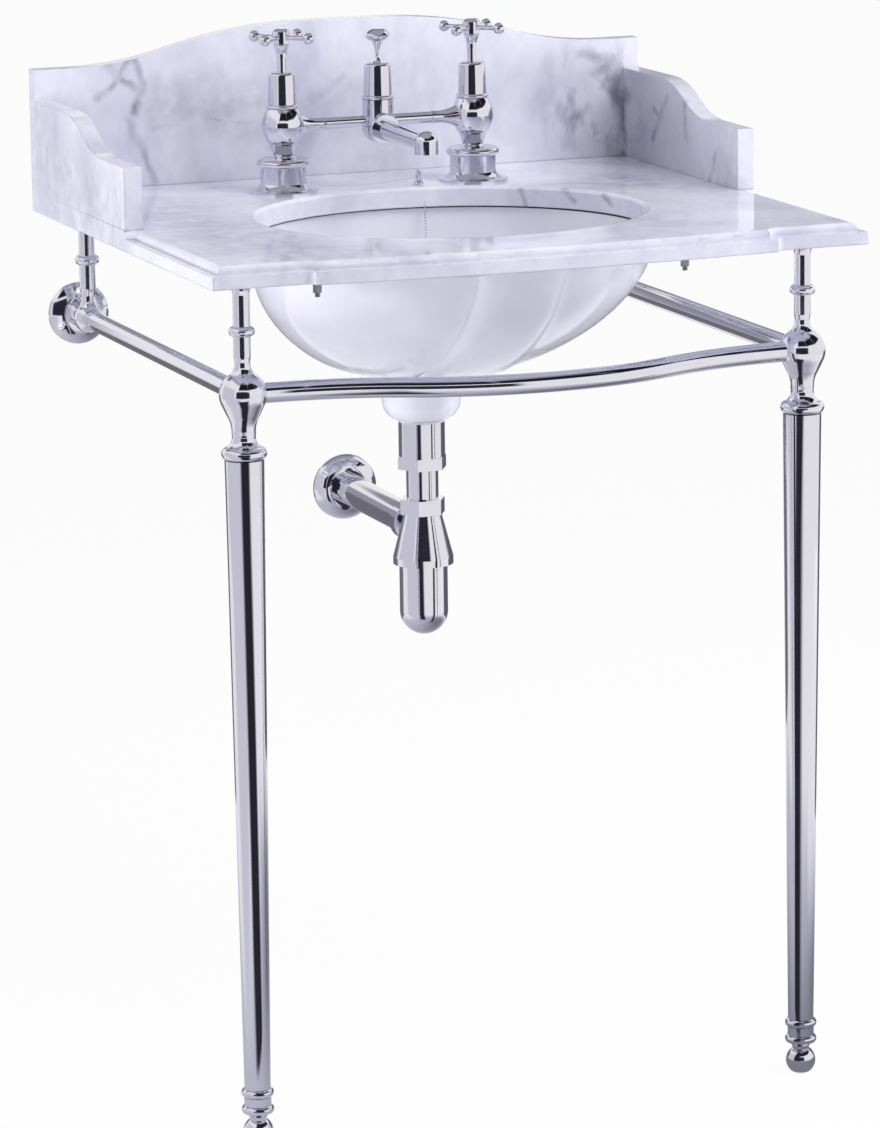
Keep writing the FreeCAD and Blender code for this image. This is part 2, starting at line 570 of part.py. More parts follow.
# Waste outlet: nut, straight pipe to the wall and its domed cover plate.
slip_y = waste_y + s.outlet_reach - s.outlet_nut_length
node("outlet_nut", ring("outlet_ring", pipe_grip, s.pipe_radius + s.outlet_nut_wall,
                        s.outlet_nut_length, (zero, slip_y, trap_height), "Y"))
node("outlet_pipe", ring("outlet_tube", pipe_bore, s.pipe_radius, wall - slip_y,
                         (zero, slip_y, trap_height), "Y"))
cover_rim_share = 0.2
cover_radius = s.pipe_radius + s.cover_width
node("wall_escutcheon", turned("escutcheon", [
    (pipe_grip, zero), (cover_radius, zero), (cover_radius, s.escutcheon_depth * cover_rim_share, 0.32),
    (s.pipe_radius + s.pipe_wall * 2, s.escutcheon_depth), (pipe_grip, s.escutcheon_depth)],
    (zero, wall, trap_height), "-Y"))

# Plug: metal cap with a stem and a wire ring, rubber seat below, resting just clear of the flange.
cap_z = flange_z + s.waste_flange_thick + s.air
stem_top = s.plug_cap_thick + s.plug_stem_height / 2
node("plug_cap", turned("plug", [
    (zero, zero), (s.plug_cap_radius, zero), (s.plug_cap_radius, s.plug_cap_thick / 2, 0.1),
    (s.plug_stem_radius, s.plug_cap_thick), (s.plug_stem_radius, stem_top), (zero, stem_top)],
    (zero, waste_y, cap_z)))
rubber_end = waste_bore + s.pipe_wall / 4 - s.air
node("plug_rubber", turned("rubber", [
    (zero, zero), (rubber_end, zero), (seat_radius - s.pipe_wall, s.plug_rubber_depth),
    (zero, s.plug_rubber_depth)], (zero, waste_y, cap_z - s.plug_rubber_depth)))
ring_mid_z = cap_z + stem_top + s.plug_ring_radius + s.plug_ring_wire
node("plug_ring", primitive("Torus", "plug_wire", (zero, waste_y, ring_mid_z), "X",
                            Radius1=s.plug_ring_radius, Radius2=s.plug_ring_wire))

# Chain stay: a small post on the slab with a wire loop.
stay_foot = turned("stay_foot", [
    (zero, -s.stay_stud_depth), (s.stay_stud_radius, -s.stay_stud_depth), (s.stay_stud_radius, zero),
    (s.stay_radius, zero), (s.stay_radius, s.stay_height / 3, 0.25),
    (s.stay_stud_radius, s.stay_height), (zero, s.stay_height)], (s.stay_offset, stay_y, s.rim_height))
stay_mid_z = s.rim_height + s.stay_height + s.stay_loop_radius
stay_loop = primitive("Torus", "stay_loop", (s.stay_offset, stay_y, stay_mid_z), "X",
                      Radius1=s.stay_loop_radius, Radius2=s.stay_wire)
node("chain_stay", join("stay", stay_foot, stay_loop))

# Taps: base flange, turned body with a flared arm for the bridge, valve, bonnet, spindle and a
# cross handle with balled arms. Each body's tail goes down through the slab to a washer and nut.
flare_start_share = 0.66
flare_radius = s.body_rise - s.flare_drop
arm_neck_share = 0.8
spindle_bore = s.spindle_radius + s.running_fit
valve_grip = s.valve_radius + s.fit
washers, backnuts = [], []


def bonnet_outline(inner):
    """A beaded cover up to its rounded top edge; the corners inside it are given."""
    bead = s.bonnet_bead_radius - s.bonnet_radius
    return [(s.bonnet_radius, zero, 0.9), (s.bonnet_radius, bead * 2),
            (s.bonnet_top_radius, s.bonnet_height - s.bonnet_wall, 0.3),
            (s.bonnet_top_radius - s.bonnet_wall, s.bonnet_height)] + inner


for side, sign in sides:
    x = s.tap_centres / 2 * sign
    inward = "-X" if sign > 0 else "X"
    foot = (x, tap_y, s.rim_height)
    node(f"{side}_base_flange", turned(f"{side}_flange", [
        (s.base_core_radius + s.fit, zero), (s.base_radius, zero), (s.base_radius, s.base_height / 4, -0.3),
        (waist_radius + s.fit, s.base_height), (s.base_core_radius + s.fit, s.base_height)], foot))
    tail_end = s.tail_end_length - s.tail_length
    blank = turned(f"{side}_body_blank", [
        (zero, -s.tail_length), (s.tail_radius - s.tail_step, -s.tail_length),
        (s.tail_radius - s.tail_step, tail_end), (s.tail_radius, tail_end), (s.tail_radius, zero),
        (s.base_core_radius, zero), (s.base_core_radius, s.base_height), (waist_radius, s.base_height),
        (waist_radius, ring_height - s.ring_half, 0.9), (waist_radius, ring_height + s.ring_half, -0.35),
        (s.throat_radius, throat_height, -0.1), (s.bulb_foot_radius, bridge_height - s.bulb_drop, 0.145),
        (s.bulb_radius, bridge_height, 0.118), (s.body_top_radius, body_height), (zero, body_height)], foot)
    arm_at = (x, tap_y, s.rim_height + bridge_height)
    flare = turned(f"{side}_flare", [
        (zero, zero), (flare_radius, zero), (flare_radius, s.bulb_radius * flare_start_share, -0.2),
        (s.bar_radius + s.flare_wall, s.flare_reach), (zero, s.flare_reach)], arm_at, inward)
    socket_x = x - (s.flare_reach - s.socket_depth) * sign
    socket = rod(f"{side}_bar_socket", s.bar_radius + s.fit, s.socket_depth + s.overrun,
                 (socket_x, tap_y, arm_at[2]), inward)
    cross_bore = rod(f"{side}_cross_bore", bar_bore_radius, s.flare_reach, arm_at, inward)
    water = rod(f"{side}_water_bore", s.water_bore_radius, s.tail_length + bridge_height,
                (x, tap_y, s.rim_height - s.tail_length - s.overrun))
    valve_z = s.rim_height + body_height - s.valve_depth
    seat = rod(f"{side}_valve_seat", valve_grip, s.valve_depth + s.overrun, (x, tap_y, valve_z))
    node(f"{side}_tap_body", cut(f"{side}_body", join(f"{side}_body_skin", blank, flare),
                                 socket, cross_bore, water, seat))
    spindle_foot = valve_z + s.valve_height - s.valve_depth / 2
    cartridge = rod(f"{side}_cartridge", s.valve_radius, s.valve_height, (x, tap_y, valve_z))
    spindle_socket = rod(f"{side}_spindle_socket", spindle_bore, s.valve_depth, (x, tap_y, spindle_foot))
    node(f"{side}_valve", cut(f"{side}_cartridge_cut", cartridge, spindle_socket))
    bonnet_roof = s.bonnet_height - s.bonnet_wall
    node(f"{side}_bonnet", turned(f"{side}_cover", bonnet_outline([
        (spindle_bore, s.bonnet_height), (spindle_bore, bonnet_roof), (valve_grip, bonnet_roof),
        (valve_grip, zero)]), (x, tap_y, s.rim_height + body_height)))
    spindle_z = spindle_foot + s.air
    spindle_top = s.rim_height + handle_height
    node(f"{side}_spindle", rod(f"{side}_stem", s.spindle_radius, spindle_top - spindle_z,
                                (x, tap_y, spindle_z)))
    hub_low, hub_high = handle_height - s.hub_half, handle_height + s.hub_half
    hub_top = hub_high + s.hub_half / 2
    hub = turned(f"{side}_hub", [
        (zero, bell_height), (spindle_bore + bar_bore_radius / 4, bell_height, -0.2),
        (s.bell_radius, hub_low - s.hub_half / 3, 0.5), (s.bell_radius - s.arm_radius / 2, hub_low),
        (s.hub_radius, hub_low), (s.hub_radius, hub_high, 0.3), (s.arm_radius, hub_top), (zero, hub_top)],
        foot)
    arms = []
    for i in range(4):
        angle = math.radians(sizes["handle_turn"] + 90 * i)
        middle = (x, tap_y, s.rim_height + handle_height)
        tip = (x + s.arm_reach * math.cos(angle), tap_y + s.arm_reach * math.sin(angle), middle[2])
        arm = turned(f"{side}_arm_{i}", [
            (zero, zero), (s.arm_radius * arm_neck_share, zero),
            (s.arm_radius * arm_neck_share, s.arm_reach / 2, -0.06),
            (s.arm_radius, s.arm_reach), (zero, s.arm_reach)], middle)
        arm.Placement.Rotation = FreeCAD.Rotation(FreeCAD.Vector(0, 0, 1), math.degrees(angle)) * TURNS["X"]
        arms += [arm, primitive("Sphere", f"{side}_arm_ball_{i}", tip, Radius=s.arm_ball_radius)]
    handle_bore = rod(f"{side}_handle_bore", s.spindle_radius + s.fit, handle_height,
                      (x, tap_y, s.rim_height + s.fit))
    node(f"{side}_cross_handle", cut(f"{side}_handle", join(f"{side}_handle_skin", hub, *arms), handle_bore))
    washer_z = underside - s.tap_washer_thick
    washers.append(ring(f"{side}_washer", s.tail_radius + s.fit, s.tap_washer_radius, s.tap_washer_thick,
                        (x, tap_y, washer_z)))
    backnuts.append(bored_nut(f"{side}_backnut", s.backnut_radius, s.tail_radius + s.fit,
                              s.backnut_height, (x, tap_y, washer_z - s.backnut_height)))
node("tap_washers", group("tap_rubbers", washers))
node("tap_backnuts", group("tap_nuts", backnuts))

# Bridge: a hollow bar between the taps through a round middle body, with a root for the spout.
bridge_z = s.rim_height + bridge_height
bar_half = s.tap_centres / 2 - s.flare_reach + s.socket_depth
bar = rod("bridge_bar", s.bar_radius, bar_half * 2, (-bar_half, tap_y, bridge_z), "X")
globe_z = bridge_z - s.centre_drop
globe = primitive("Sphere", "bridge_globe", (zero, tap_y, globe_z), Radius=s.centre_radius)
neck_top = s.rim_height + body_height + s.ring_half
column = rod("bridge_column", s.body_top_radius, neck_top - globe_z, (zero, tap_y, globe_z))
spout_root = rod("bridge_root", s.root_radius, s.root_reach, (zero, tap_y, globe_z), "-Y")
bar_bore = rod("bridge_bar_bore", bar_bore_radius, (bar_half + s.overrun) * 2,
               (-bar_half - s.overrun, tap_y, bridge_z), "X")
root_bore = rod("bridge_root_bore", s.spout_bore_radius, s.root_reach + s.overrun,
                (zero, tap_y, globe_z), "-Y")
bridge_skin = join("bridge_skin", bar, globe, column, spout_root)
node("bridge", cut("bridge_cut", bridge_skin, bar_bore, root_bore))

# Spout: a collar and a tapering arm to a domed outlet that points down, with a nozzle insert.
spout_y = tap_y - s.root_reach
tip_y = tap_y - s.spout_reach
arm_run = s.spout_reach - s.root_reach
root_bead = s.root_radius + s.cup_wall
spout_arm = turned("spout_arm", [
    (zero, zero), (root_bead, zero, 0.6), (root_bead, s.ring_half), (s.root_radius - s.cup_wall, s.ring_half),
    (s.spout_tip_radius, arm_run), (zero, arm_run)], (zero, spout_y, globe_z), "-Y")
nozzle_z = globe_z - s.outlet_drop
spout_drop = rod("spout_drop", s.outlet_radius, s.outlet_drop, (zero, tip_y, nozzle_z))
spout_dome = primitive("Sphere", "spout_dome", (zero, tip_y, globe_z), Radius=s.outlet_radius)
spout_bore = rod("spout_bore", s.spout_bore_radius, arm_run + s.overrun,
                 (zero, spout_y + s.overrun, globe_z), "-Y")
drop_bore = rod("spout_drop_bore", outlet_bore_radius, s.outlet_drop,
                (zero, tip_y, nozzle_z - s.overrun / 5))
node("spout", cut("spout_cut", join("spout_skin", spout_arm, spout_drop, spout_dome), spout_bore, drop_bore))
node("spout_nozzle", ring("nozzle", s.spout_bore_radius, outlet_bore_radius - s.fit, s.nozzle_depth,
                          (zero, tip_y, nozzle_z)))

# Middle bonnet and finial above the bridge.
pin_grip = s.finial_neck_radius + s.fit
pin_floor = s.bonnet_height - s.finial_pin_depth - s.fit
node("middle_bonnet", turned("middle_cover", bonnet_outline([
    (pin_grip, s.bonnet_height), (pin_grip, pin_floor), (zero, pin_floor), (zero, zero)]),
    (zero, tap_y, neck_top)))
knob_mid = s.finial_height - s.finial_knob_half
node("finial", turned("finial_turning", [
    (zero, -s.finial_pin_depth), (s.finial_neck_radius, -s.finial_pin_depth), (s.finial_neck_radius, zero),
    (s.finial_foot_radius, zero, -0.25), (s.finial_neck_radius, s.finial_height / 3, -0.12),
    (s.finial_foot_radius, knob_mid - s.finial_knob_half, 0.3), (s.finial_knob_radius, knob_mid, 0.32),
    (s.finial_neck_radius, s.finial_height), (zero, s.finial_height)],
    (zero, tap_y, neck_top + s.bonnet_height)))

# Legs: turned top with collar, ball and bead, tapering tube, and a ringed foot on a ball.
ball_top_rise = sphere_half(s.leg_ball_radius, s.leg_neck_radius)
tube_top = collar_height - s.leg_collar_half
collar_top_z = collar_height + s.leg_collar_half
collar_core = s.leg_collar_radius - s.leg_collar_half
bead_half = s.leg_bead_radius - s.spindle_leg_radius
socket_start = s.rail_radius + s.socket_web
tube_grip = s.tube_top_radius - s.tube_wall - s.fit
foot_grip = s.tube_end_radius - s.tube_wall - s.fit
ring_core = s.foot_ring_radius - s.foot_ring_half
foot_ball_z = sphere_half(s.foot_ball_radius, s.foot_flat_radius)
ball_top = foot_ball_z + sphere_half(s.foot_ball_radius, s.foot_neck_radius)
low_ring = ball_top + s.foot_neck_height + s.foot_ring_half * 2
ring_gap = low_ring + s.foot_waist_height
foot_height = ring_gap + s.foot_ring_half * 2
# the ball runs down into its neck as an urn: shares of the ball's radius, across and down
urn_shares = SimpleNamespace(cheek=(0.893, 0.45), chin=(0.69, 0.88), neck=1.5)
ball = s.leg_ball_radius


def spindle_top_outline(start):
    """A beaded spindle from a given corner up to its flare under the slab."""
    thin = s.spindle_leg_radius
    return [start, (thin, bead_height - bead_half, 0.9), (thin, bead_height + bead_half),
            (thin, underside - s.leg_flare_height, -0.2),
            (s.leg_flare_radius, underside - s.leg_flare_height / 4),
            (s.leg_flare_radius, underside), (zero, underside)]


for side, sign in sides:
    x = leg_x * sign
    top = turned(f"{side}_leg_turning", [
        (zero, tube_top - s.spigot_length), (tube_grip, tube_top - s.spigot_length), (tube_grip, tube_top),
        (collar_core, tube_top, 0.9), (collar_core, collar_top_z, -0.3),
        (s.leg_neck_radius, collar_top_z + s.leg_collar_half * 2),
        (s.leg_neck_radius, rail_height - ball * urn_shares.neck, -0.13),
        (ball * urn_shares.chin[0], rail_height - ball * urn_shares.chin[1]),
        (ball * urn_shares.cheek[0], rail_height - ball * urn_shares.cheek[1], (ball, 1)),
        (s.leg_neck_radius, rail_height + ball_top_rise, -0.25)] + spindle_top_outline(
        (s.spindle_leg_radius, rail_height + ball_top_rise + s.leg_flare_height)), (x, leg_y, zero))
    front_socket = rod(f"{side}_front_socket", s.rail_radius + s.fit, ball,
                       (x - socket_start * sign, leg_y, rail_height), "X" if sign < 0 else "-X")
    side_socket = rod(f"{side}_side_socket", s.rail_radius + s.fit, ball,
                      (x, leg_y + socket_start, rail_height), "Y")
    node(f"{side}_leg_top", cut(f"{side}_leg_top_cut", top, front_socket, side_socket))
    node(f"{side}_leg_tube", turned(f"{side}_tube", [
        (s.tube_end_radius - s.tube_wall, foot_height), (s.tube_end_radius, foot_height),
        (s.tube_top_radius, tube_top), (s.tube_top_radius - s.tube_wall, tube_top),
        (s.tube_top_radius - s.tube_wall, tube_top - s.spigot_length)], (x, leg_y, zero)))
    node(f"{side}_foot", turned(f"{side}_foot_turning", [
        (zero, zero), (s.foot_flat_radius, zero, (s.foot_ball_radius, 1)),
        (s.foot_ball_radius, foot_ball_z, (s.foot_ball_radius, 1)), (s.foot_neck_radius, ball_top, -0.3),
        (ring_core, low_ring - s.foot_ring_half * 2, 0.9), (ring_core, low_ring),
        (s.foot_waist_radius, low_ring), (s.foot_waist_radius, ring_gap), (ring_core, ring_gap, 0.9),
        (ring_core, foot_height), (foot_grip, foot_height), (foot_grip, foot_height + s.spigot_length),
        (zero, foot_height + s.spigot_length)], (x, leg_y, zero)))


# Rear posts: a ball at rail height, a beaded spindle up to the slab, and a domed flange on the wall
# whose stem sits in the ball, with three countersunk screw holes.
post_y = wall - s.post_setback
post_ball = s.post_ball_radius
post_dz = sphere_half(post_ball, s.rail_radius)
post_socket = post_ball - s.post_bite
screw_circle = (s.flange_radius + s.flange_hub_radius) / 2
flange_dome_share = 0.55
for side, sign in sides:
    x = leg_x * sign
    post = turned(f"{side}_post_turning", [
        (zero, rail_height - post_ball),
        (s.foot_flat_radius, rail_height - sphere_half(post_ball, s.foot_flat_radius), (post_ball, 1)),
        (s.rail_radius, rail_height + post_dz, -0.2)] + spindle_top_outline(
        (s.spindle_leg_radius, rail_height + post_ball * 2)), (x, post_y, zero))
    rail_socket = rod(f"{side}_post_rail_socket", s.rail_radius + s.fit, post_ball,
                      (x, post_y - post_socket, rail_height), "-Y")
    stem_socket = rod(f"{side}_post_stem_socket", s.rail_radius + s.fit, post_ball,
                      (x, post_y + post_socket, rail_height), "Y")
    node(f"{side}_rear_post", cut(f"{side}_post", post, rail_socket, stem_socket))
    stem = s.post_setback - post_socket
    flange = turned(f"{side}_flange_turning", [
        (zero, zero), (s.flange_radius, zero), (s.flange_radius, s.flange_rim, 0.16),
        (s.flange_hub_radius, s.flange_depth * flange_dome_share), (s.rail_radius, s.flange_depth),
        (s.rail_radius, stem), (zero, stem)], (x, wall, rail_height), "-Y")
    holes = []
    for i in range(3):
        angle = math.radians(90 + 120 * i)
        across, up = x + screw_circle * math.cos(angle), rail_height + screw_circle * math.sin(angle)
        holes.append(rod(f"{side}_screw_hole_{i}", s.screw_hole_radius, s.flange_depth,
                         (across, wall + s.overrun, up), "-Y"))
        holes.append(rod(f"{side}_screw_seat_{i}", s.screw_seat_radius, s.flange_depth,
                         (across, wall - s.screw_seat_depth, up), "-Y"))
    node(f"{side}_wall_flange", cut(f"{side}_flange_cut", flange, *holes))
    rail_start = leg_y + socket_start
    node(f"{side}_side_rail", ring(f"{side}_rail", s.rail_radius - s.rail_wall, s.rail_radius,
                                   post_y - post_socket - rail_start, (x, rail_start, rail_height), "Y"))

# Front rail: a tube between the leg balls that swings forward in four equal arcs.
rail_run = leg_x - s.rail_stub
rail_bend = (rail_run * rail_run + s.rail_bow * s.rail_bow) / (s.rail_bow * 4)
turn_text = f"(2 * atan({s.rail_bow.text} / {rail_run.text}))"


def bent(name, radius, at, start, sweep):
    """A stretch of bent bar: part of a torus about Z that starts at an angle."""
    thing = primitive("Torus", name, at, Radius1=rail_bend, Radius2=radius)
    thing.setExpression("Angle3", sweep)
    thing.Placement.Rotation = FreeCAD.Rotation(FreeCAD.Vector(0, 0, 1), 1)
    thing.setExpression("Placement.Rotation.Angle", start)
    return thing


def front_bar(name, radius):
    stub = s.rail_stub - socket_start
    end_y, middle_y = leg_y - rail_bend, leg_y - s.rail_bow + rail_bend
    return join(name, rod(f"{name}_left_stub", radius, stub, (socket_start - leg_x, leg_y, rail_height), "X"),
                rod(f"{name}_right_stub", radius, stub, (leg_x - socket_start, leg_y, rail_height), "-X"),
                bent(f"{name}_left", radius, (-rail_run, end_y, rail_height),
                     f"90 deg - {turn_text}", turn_text),
                bent(f"{name}_right", radius, (rail_run, end_y, rail_height), "90 deg", turn_text),
                bent(f"{name}_middle", radius, (zero, middle_y, rail_height),
                     f"-90 deg - {turn_text}", f"2 * {turn_text}"))


node("front_rail", cut("front_rail_cut", front_bar("front_rail_skin", s.rail_radius),
                       front_bar("front_rail_bore", s.rail_radius - s.rail_wall)))

# Plug chain: from the stay over the opening's back edge, straight down inside the bowl and along its
# back wall to the plug's ring.
# corners as shares of the ways from the plug's axis to the stay across, back and up
chain_shares = [(1, 0.928, 0.980), (1, 0.801, 0.948), (1, 0.792, 0.097), (0.89, 0.61, -0.028),
                (0.62, 0.396, -0.087), (0.3, 0.203, 0.032), (0.076, 0.066, 0.038)]
corners = [FreeCAD.Vector(s.stay_offset.value * a, waste_y.value + (stay_y - waste_y).value * b,
                          ring_mid_z.value + (stay_mid_z - ring_mid_z).value * c) for a, b, c in chain_shares]
arc_share = 0.45
pieces, bends = [], []
last = corners[0]
for before, corner, after in zip(corners, corners[1:], corners[2:]):
    back, ahead = before - corner, after - corner
    reach = arc_share * min(back.Length, ahead.Length)
    half_turn = (math.pi - back.getAngle(ahead)) / 2
    bends.append(reach / math.tan(half_turn))
    back, ahead = back.normalize(), ahead.normalize()
    start, end = corner + back * reach, corner + ahead * reach
    inward = (back + ahead).normalize()
    middle = corner + inward * (bends[-1] / math.cos(half_turn) - bends[-1])
    pieces += [Part.LineSegment(last, start), Part.Arc(start, middle, end)]
    last = end
pieces.append(Part.LineSegment(last, corners[-1]))
route = Part.Wire([piece.toShape() for piece in pieces])
first_way = (corners[1] - corners[0]).normalize()
section = Part.Wire([Part.Circle(corners[0], first_way, s.chain_radius.value).toShape()])
chain = doc.addObject("Part::Feature", "chain")
chain.Shape = route.makePipeShell([section], True, False)
node("ball_chain", chain)
thread = math.pi * s.chain_radius.value ** 2 * route.Length
print("chain length", round(route.Length, 1), "bends", [round(r, 1) for r in bends],
      "volume against section by length", round(chain.Shape.Volume / thread, 3))

# Every piece must be sound before it is written out.
doc.recompute()
for thing in doc.Objects:
    if "Invalid" in thing.State or "Error" in thing.State:
        raise RuntimeError(f"{thing.Name} did not build")
os.makedirs("parts", exist_ok=True)
for thing in nodes:
    if thing.Shape.isNull() or not thing.Shape.isValid() or not thing.Shape.Solids:
        raise RuntimeError(f"{thing.Label} is not a sound solid")
    thing.Shape.exportStep(f"parts/{thing.Label}.step")
    box = thing.Shape.optimalBoundingBox(False)
    print(thing.Label, len(thing.Shape.Solids), round(thing.Shape.Volume / 1000, 1),
          [round(v, 2) for v in (box.XMin, box.XMax, box.YMin, box.YMax, box.ZMin, box.ZMax)])
print(len(nodes), "pieces")
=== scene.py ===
import json
import math

import bmesh
import bpy
from mathutils import Matrix, Vector
from mathutils.kdtree import KDTree


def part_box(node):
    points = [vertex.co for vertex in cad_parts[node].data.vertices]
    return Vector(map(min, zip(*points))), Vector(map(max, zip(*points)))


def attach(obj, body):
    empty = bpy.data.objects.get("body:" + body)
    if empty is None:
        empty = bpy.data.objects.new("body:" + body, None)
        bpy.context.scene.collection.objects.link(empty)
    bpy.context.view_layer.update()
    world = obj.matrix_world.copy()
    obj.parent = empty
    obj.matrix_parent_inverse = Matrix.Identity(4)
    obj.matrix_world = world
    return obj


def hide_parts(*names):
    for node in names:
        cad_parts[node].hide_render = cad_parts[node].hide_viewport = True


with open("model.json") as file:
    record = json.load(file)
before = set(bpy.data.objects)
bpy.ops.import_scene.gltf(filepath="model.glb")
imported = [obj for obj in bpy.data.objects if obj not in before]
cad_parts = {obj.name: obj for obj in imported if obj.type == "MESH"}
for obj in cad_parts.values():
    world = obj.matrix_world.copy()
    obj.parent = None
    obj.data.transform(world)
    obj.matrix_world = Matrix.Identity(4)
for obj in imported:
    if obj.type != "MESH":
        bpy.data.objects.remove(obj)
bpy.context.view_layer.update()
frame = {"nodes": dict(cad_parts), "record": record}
nodes = frame["nodes"]

# The camera: a long lens to the front left of the washstand, a little above its top, looking down
# on the slab; it was fitted to the slab's corners, the taps and the rings of the legs.
YAW, PITCH, ROLL = math.radians(20.86), math.radians(12.08), math.radians(-0.74)
CAMERA_PLACE = (-1.75515, -4.5881, 1.54325)
FOCAL_PIXELS, IMAGE_HEIGHT, FILM_WIDTH, FAR_CLIP = 5120.5, 1128, 36, 100
scene = bpy.context.scene
scene.view_settings.view_transform = "Standard"
across = Vector((math.cos(YAW), -math.sin(YAW), 0))
toward = Vector((-math.sin(YAW), -math.cos(YAW), 0))
ahead = -toward * math.cos(PITCH) - Vector((0, 0, math.sin(PITCH)))
above = across.cross(ahead)
rightward = across * math.cos(ROLL) + above * math.sin(ROLL)
upward = above * math.cos(ROLL) - across * math.sin(ROLL)
lens = bpy.data.cameras.new("photo_camera")
lens.sensor_width = FILM_WIDTH
lens.lens = FOCAL_PIXELS * FILM_WIDTH / IMAGE_HEIGHT
lens.clip_end = FAR_CLIP
camera = bpy.data.objects.new("photo_camera", lens)
camera.matrix_world = (Matrix.Translation(CAMERA_PLACE)
                       @ Matrix((rightward, upward, -ahead)).transposed().to_4x4())
scene.collection.objects.link(camera)
scene.camera = camera


# The floor: a wide sweep of white studio paper that runs out to white behind the washstand and
# keeps its faint shadow. The world round it is a white tent that lights everything evenly.
def linear(code):
    """An sRGB hex colour as linear RGBA."""
    parts = [int(code[i:i + 2], 16) / 255 for i in (1, 3, 5)]
    return [c / 12.92 if c <= 0.04045 else ((c + 0.055) / 1.055) ** 2.4 for c in parts] + [1.0]


def add(tree, kind, inputs=None, **settings):
    """A shader node with its settings, and its inputs linked or set."""
    made = tree.nodes.new(kind)
    for name, value in settings.items():
        setattr(made, name, value)
    for name, value in (inputs or {}).items():
        if isinstance(value, bpy.types.NodeSocket):
            tree.links.new(value, made.inputs[name])
        else:
            made.inputs[name].default_value = value
    return made


def surface(name):
    """A new material with its tree, empty but for the output."""
    made = bpy.data.materials.new(name)
    made.use_nodes = True
    made.node_tree.nodes.clear()
    return made, made.node_tree, add(made.node_tree, "ShaderNodeOutputMaterial")


def seen_rays(tree):
    """1 for the rays that the camera, a mirror or glass sees by, and 0 for those that light things."""
    path = add(tree, "ShaderNodeLightPath").outputs
    mirrored = add(tree, "ShaderNodeMath", {0: path["Is Glossy Ray"], 1: path["Is Transmission Ray"]},
                   operation="MAXIMUM").outputs[0]
    return add(tree, "ShaderNodeMath", {0: path["Is Camera Ray"], 1: mirrored},
               operation="MAXIMUM").outputs[0]


def sheet(name, corners, material):
    """A flat stage piece through four corners, with its UVs from the first corner."""
    mesh = bpy.data.meshes.new(name)
    bm = bmesh.new()
    face = bm.faces.new([bm.verts.new(corner) for corner in corners])
    spread = bm.loops.layers.uv.new("spread")
    for loop, corner in zip(face.loops, ((0, 0), (1, 0), (1, 1), (0, 1))):
        loop[spread].uv = corner
    bm.to_mesh(mesh)
    bm.free()
    mesh.materials.append(material)
    made = bpy.data.objects.new(name, mesh)
    scene.collection.objects.link(made)
    return made


def flat(left, right, front, back, height):
    """The corners of a sheet that lies level."""
    return [(left, front, height), (right, front, height), (right, back, height), (left, back, height)]


FLOOR_REACH, PAPER_GLOW, WORLD_LIGHT = 30, 0.95, 0.45
paper, tree, out = surface("white_studio_paper")
glow = add(tree, "ShaderNodeEmission", {"Color": linear("#ffffff"), "Strength": 1.0})
matt = add(tree, "ShaderNodeBsdfDiffuse", {"Color": linear("#dadae0")})
share = add(tree, "ShaderNodeMath", {0: seen_rays(tree), 1: PAPER_GLOW}, operation="MULTIPLY")
mixed = add(tree, "ShaderNodeMixShader", {0: share.outputs[0], 1: matt.outputs[0], 2: glow.outputs[0]})
tree.links.new(mixed.outputs[0], out.inputs["Surface"])
sheet("floor", flat(-FLOOR_REACH, FLOOR_REACH, -FLOOR_REACH, FLOOR_REACH, 0), paper)

world = bpy.data.worlds.new("white_tent")
scene.world = world
world.use_nodes = True
tree = world.node_tree
tree.nodes.clear()
out = add(tree, "ShaderNodeOutputWorld")
lit = add(tree, "ShaderNodeBackground", {"Color": linear("#f3f3fa"), "Strength": WORLD_LIGHT})
white = add(tree, "ShaderNodeBackground", {"Color": linear("#ffffff"), "Strength": 1.0})
mixed = add(tree, "ShaderNodeMixShader", {0: seen_rays(tree), 1: lit.outputs[0], 2: white.outputs[0]})
tree.links.new(mixed.outputs[0], out.inputs["Surface"])

# The lamps: soft boxes overhead, to the upper right, and low on both sides. Each row gives a lamp's
# place, what it points at, its width, height and watts. Polished metal mirrors the cards below,
# not the lamps.
LAMPS = {"overhead_lamp": ((0.1, -0.6, 2.6), (0, 0, 0.8), 1.6, 1.2, 16),
         "upper_right_lamp": ((1.5, -1.9, 2.75), (0, 0, 0.85), 1.4, 1.4, 52),
         "low_left_lamp": ((-2.5, -0.35, 0.55), (0, 0, 0.6), 1.0, 1.4, 46),
         "low_right_lamp": ((2.6, -0.45, 0.6), (0, 0, 0.5), 1.0, 1.4, 55)}
for name, (at, target, width, height, watts) in LAMPS.items():
    light = bpy.data.lights.new(name, "AREA")
    light.shape = "RECTANGLE"
    light.size = width
    light.size_y = height
    light.energy = watts
    holder = bpy.data.objects.new(name, light)
    aim = (Vector(target) - Vector(at)).to_track_quat("-Z", "Y").to_matrix().to_4x4()
    holder.matrix_world = Matrix.Translation(at) @ aim
    holder.visible_glossy = False
    scene.collection.objects.link(holder)

# The cards: dark and grey boards round the set that only mirrors see. They give the polished metal
# its dark bands and grey outlines, as an unlit studio does; the two grey sheets on the floor near and
# under the washstand are painted shade of the floor there, as mirrors see it. Each row gives a card's
# shade, the shares of its width and of its height over which it fades in from its edges, and its corners.
CEILING, STRIP_DROP, STRIP_NEAR, STRIP_FAR = 2.7, 0.1, 1.1, 4.4
BACK_NEAR, BACK_FAR = 0.9, 1.5
LIFT = 0.001
foot_low, foot_high = (Vector(corner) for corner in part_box("left_foot"))
left_leg = Vector(((foot_low.x + foot_high.x) / 2, (foot_low.y + foot_high.y) / 2, 0))


def beside(side, near, height):
    """A point so far to the right of the left leg, and so far from it towards the camera."""
    return left_leg + across * side + toward * near + Vector((0, 0, height))


